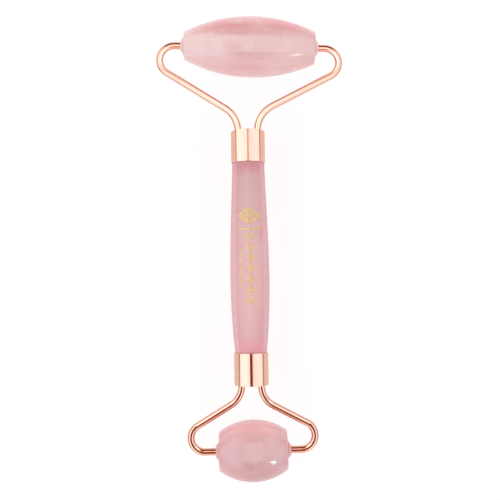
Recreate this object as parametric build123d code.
from build123d import *
import os
from math import cos, sin, tan, radians

# Double-ended facial roller: a stone handle, a metal ferrule at each end of it, and in each
# ferrule a bent-wire yoke that carries a stone roller on two pins.
#
# Millimetres, +Z up. The roller lies on its two stones. +Y runs along the handle to the large
# stone, +X runs along the axles, and z = 0 is the surface it lies on. Everything is
# built about the middle of the handle's centre line, then placed by PLACE.

# ---- placing: centres the bounding box on the origin and sets it down on z = 0 ----
AXIS_HEIGHT = 9.35                      # the centre line of handle, wires and axles
PLACE = Pos(-0.77, -0.68, AXIS_HEIGHT)

# ---- handle: eight-sided, an edge on top, bulged along its length ----
SIDES = 8
FLAT = cos(radians(180 / SIDES))        # apothem over corner radius
HANDLE_LOW, HANDLE_HIGH = -31.95, 26.55
HANDLE_PROFILE = [                      # (position along the handle, corner radius)
    (-31.95, 4.92), (-20.0, 5.83), (-5.0, 6.07), (11.0, 5.60), (26.55, 5.04),
]
HANDLE_EDGE = 0.60                      # rounding of the long edges
TENON_RADIUS, TENON_LENGTH = 4.67, 4.20  # corner radius and length inside the ferrule
TENON_EDGE = 0.30
TENON_ROOT = 2.00                       # how far the tenon runs on inside the handle
SLAB_REACH = 12.0                       # half width of the slabs that the handle is cut from
LONG_EDGE = 40.0                        # longer edges than this run the length of the handle

# ---- ferrule: eight-sided cap, closed by a crown with two wire holes ----
FERRULE_LENGTH = 9.95
FERRULE_RADIUS = 5.33                   # outer corner radius: 9.85 across flats
FERRULE_BORE = 4.76                     # inner corner radius
FERRULE_EDGE = 1.00                     # rounding of the long edges outside
CAVITY_EDGE = 0.45                      # and inside
CROWN_THICKNESS = 1.00
CROWN_ROUND, RIM_ROUND = 0.60, 0.40     # turned shoulders at the crown and at the open rim
LEG_HOLE = 1.25                         # radius
CUT_PAST = 1.00                         # how far the cavity is cut past the open rim

# ---- yokes: one wire each ----
WIRE = 1.10                             # radius
LEG_X = 3.05                            # the legs stand this far either side of the centre line
U_DEPTH, U_BEND = 4.30, 2.90            # centre line of the U-bend below the crown, and its radius
PIN_TIP = 0.25                          # chamfer on the pin ends

# pin_line: crown to axle. hoop_x, hoop: centre and radius of the bend behind the pin. leg_bend:
# radius where the arm meets the leg. lean: degrees the head is bent over to +X. pin_end: where the
# pin stops, from the middle of the axle.
LARGE = dict(pin_line=26.60, hoop_x=23.37, hoop=4.60, leg_bend=8.5, lean=2.0, pin_end=13.6)
SMALL = dict(pin_line=19.85, hoop_x=14.73, hoop=4.23, leg_bend=6.6, lean=0.75, pin_end=4.2)
ARM_SLOPE = {-1: 30.5, +1: 28.6}        # left and right arm against the axle, degrees

# ---- roller stones: half length at the corner, radius of the left and right end, of the middle,
# dome of the end faces, rounding of their rims ----
LARGE_STONE = dict(half=20.40, left=4.30, right=4.95, middle=9.35, dome=0.20, rim=0.60)
SMALL_STONE = dict(half=10.40, left=5.90, right=5.90, middle=9.35, dome=0.20, rim=0.70)
STONE_BORE = 2.30                       # radius, right through

# ---- bushings: sleeve glued into the stone, flange proud of its end ----
SLEEVE_RADIUS, SLEEVE_LENGTH = 2.28, 9.00
BUSHING_BORE = 1.18                     # 0.08 clear of the pin
FLANGE_BASE, FLANGE_FACE, FLANGE_HEIGHT = 2.55, 1.80, 0.85
FLANGE_STEP, FLANGE_LIP = 0.12, 0.30    # straight edge at the seat, rounding of the outer face

GLUE_GAP = 0.02                         # between the adhesive plug and what it holds
SAME = 0.01                             # sizes closer than this are taken as equal


def octagon(corner_radius):
    """An eight-sided outline in the XZ plane, with corners straight up and to the sides."""
    return Plane.XZ * RegularPolygon(corner_radius, SIDES, major_radius=True)


def prism(corner_radius, low, high, edge):
    """An eight-sided bar from low to high along Y, its long edges rounded."""
    bar = extrude(Pos(0, low, 0) * octagon(corner_radius), amount=-(high - low))
    return fillet(bar.edges().filter_by(Axis.Y), edge)


# ---------------------------------------------------------------- handle

def handle_slab():
    """Two opposite facets of the handle: the bulged outline, extruded across it."""
    half = [(r * FLAT, y) for y, r in HANDLE_PROFILE]
    right = Spline(*[(x, y) for x, y in half])
    left = Spline(*[(-x, y) for x, y in half])
    low = Line(left @ 0, right @ 0)
    high = Line(left @ 1, right @ 1)
    return extrude(make_face([right, high, left, low]), amount=SLAB_REACH, both=True)


def handle_stone():
    slab = handle_slab()
    stone = None
    for k in range(SIDES // 2):
        turn = Rot(0, 180 / SIDES + k * 360 / SIDES, 0) * slab
        stone = turn if stone is None else stone & turn
    long_edges = [e for e in stone.edges() if e.bounding_box().size.Y > LONG_EDGE]
    stone = fillet(long_edges, HANDLE_EDGE)
    low = prism(TENON_RADIUS, HANDLE_LOW - TENON_LENGTH, HANDLE_LOW + TENON_ROOT, TENON_EDGE)
    high = prism(TENON_RADIUS, HANDLE_HIGH - TENON_ROOT, HANDLE_HIGH + TENON_LENGTH, TENON_EDGE)
    return stone + low + high


# ---------------------------------------------------------------- ferrule and what it holds
# These are made in the ferrule's own frame: the crown's outer face is y = 0 and the roller is
# towards +Y.

def shoulder_mask():
    """The turned envelope that rounds the crown and breaks the edge of the open rim."""
    r, top, low = FERRULE_RADIUS, CROWN_ROUND, RIM_ROUND
    crown = JernArc((r - top, 0), (1, 0), top, -90)
    side = Line(crown @ 1, (r, low - FERRULE_LENGTH))
    rim = JernArc(side @ 1, (0, -1), low, -90)
    back = Polyline(rim @ 1, (0, -FERRULE_LENGTH), (0, 0), crown @ 0)
    return revolve(make_face([crown, side, rim, *back.edges()]), Axis.Y)


def leg_holes(radius):
    hole = Rot(-90, 0, 0) * Cylinder(radius, 3 * CROWN_THICKNESS)
    return Pos(LEG_X, 0, 0) * hole + Pos(-LEG_X, 0, 0) * hole


def ferrule():
    shell = prism(FERRULE_RADIUS, -FERRULE_LENGTH, 0, FERRULE_EDGE) & shoulder_mask()
    cavity = prism(FERRULE_BORE, -FERRULE_LENGTH - CUT_PAST, -CROWN_THICKNESS, CAVITY_EDGE)
    return shell - cavity - leg_holes(LEG_HOLE)


def leant(x, y, lean):
    """A point of the head, bent over to +X about the middle of the crown."""
    a = radians(lean)
    return x * cos(a) + y * sin(a), y * cos(a) - x * sin(a)


def half_path(side, d):
    """One half of the wire's centre line from the pin end to the U-bend; side is -1 or +1."""
    slope = ARM_SLOPE[side]
    half_turn = radians(180 - slope) / 2
    corner_x = d["hoop_x"] + d["hoop"] * tan(half_turn)
    pin = leant(side * d["pin_end"], d["pin_line"], d["lean"])
    corner = leant(side * corner_x, d["pin_line"], d["lean"])
    arm = radians(slope - side * d["lean"])
    leg_y = corner[1] - tan(arm) * (abs(corner[0]) - LEG_X)
    return [pin, corner, (side * LEG_X, leg_y), (side * LEG_X, -U_DEPTH)]


def yoke(d, radius=WIRE):
    points = half_path(-1, d) + half_path(+1, d)[::-1]
    bends = [d["hoop"], d["leg_bend"], U_BEND]
    path = FilletPolyline(*points, radius=bends + bends[::-1])
    wire = sweep(Plane(path @ 0, z_dir=path % 0) * Circle(radius), path=path)
    if radius == WIRE:
        ends = [f.edges()[0] for f in wire.faces().filter_by(GeomType.PLANE)]
        wire = chamfer(ends, PIN_TIP)
    return wire


def epoxy(d):
    """The plug between the tenon and the crown, moulded around the wire's U-bend."""
    low = TENON_LENGTH - FERRULE_LENGTH + GLUE_GAP
    plug = prism(FERRULE_BORE - GLUE_GAP, low, -CROWN_THICKNESS - GLUE_GAP, CAVITY_EDGE)
    return plug - yoke(d, WIRE + GLUE_GAP)


# ---------------------------------------------------------------- rollers
# These are made about their own axle: the axle is X and the middle of the stone is the origin.

def roller_stone(s):
    """A barrel turned about the axle, with slightly domed ends and a through bore."""
    belly = ThreePointArc((-s["half"], s["left"]), (0, s["middle"]), (s["half"], s["right"]))
    tip = s["half"] + s["dome"]
    right = Line(belly @ 1, (tip, STONE_BORE))
    left = Line((-tip, STONE_BORE), belly @ 0)
    bore = Line(right @ 1, left @ 0)
    stone = revolve(make_face([belly, right, bore, left]), Axis.X)
    rims = [e for e in stone.edges().filter_by(GeomType.CIRCLE)
            if abs(abs(e.center().X) - s["half"]) < SAME]
    return fillet(rims, s["rim"])


def bushing(s, side):
    """A sleeve in the stone's bore with a tapered flange outside it; side is -1 or +1."""
    seat = s["half"] + s["dome"]
    face = seat + FLANGE_HEIGHT
    inner = seat - SLEEVE_LENGTH
    outline = Polyline(
        (inner, BUSHING_BORE), (face, BUSHING_BORE), (face, FLANGE_FACE),
        (seat + FLANGE_STEP, FLANGE_BASE), (seat, FLANGE_BASE), (seat, SLEEVE_RADIUS),
        (inner, SLEEVE_RADIUS), close=True,
    )
    sleeve = revolve(make_face(outline), Axis.X)
    lip = [e for e in sleeve.edges().filter_by(GeomType.CIRCLE)
           if abs(e.radius - FLANGE_FACE) < SAME]
    sleeve = fillet(lip, FLANGE_LIP)
    return sleeve if side > 0 else mirror(sleeve, Plane.YZ)


def on_axle(shape, d):
    """Moves something made about its own axle to the axle of the yoke d, in ferrule frame."""
    x, y = leant(0, d["pin_line"], d["lean"])
    return Pos(x, y, 0) * Rot(0, 0, -d["lean"]) * shape


# ---------------------------------------------------------------- assembly

LARGE_CROWN = HANDLE_HIGH + FERRULE_LENGTH
SMALL_CROWN = HANDLE_LOW - FERRULE_LENGTH


def at_large(shape):
    return PLACE * Pos(0, LARGE_CROWN, 0) * shape


def at_small(shape):
    return PLACE * Pos(0, SMALL_CROWN, 0) * mirror(shape, Plane.XZ)


NODES = {
    "handle_stone": PLACE * handle_stone(),
    "large_ferrule": at_large(ferrule()),
    "small_ferrule": at_small(ferrule()),
    "large_yoke": at_large(yoke(LARGE)),
    "small_yoke": at_small(yoke(SMALL)),
    "large_ferrule_epoxy": at_large(epoxy(LARGE)),
    "small_ferrule_epoxy": at_small(epoxy(SMALL)),
    "large_roller_stone": at_large(on_axle(roller_stone(LARGE_STONE), LARGE)),
    "large_roller_left_bushing": at_large(on_axle(bushing(LARGE_STONE, -1), LARGE)),
    "large_roller_right_bushing": at_large(on_axle(bushing(LARGE_STONE, +1), LARGE)),
    "small_roller_stone": at_small(on_axle(roller_stone(SMALL_STONE), SMALL)),
    "small_roller_left_bushing": at_small(on_axle(bushing(SMALL_STONE, -1), SMALL)),
    "small_roller_right_bushing": at_small(on_axle(bushing(SMALL_STONE, +1), SMALL)),
}

os.makedirs("parts", exist_ok=True)
for name, shape in NODES.items():
    export_step(shape, f"parts/{name}.step")
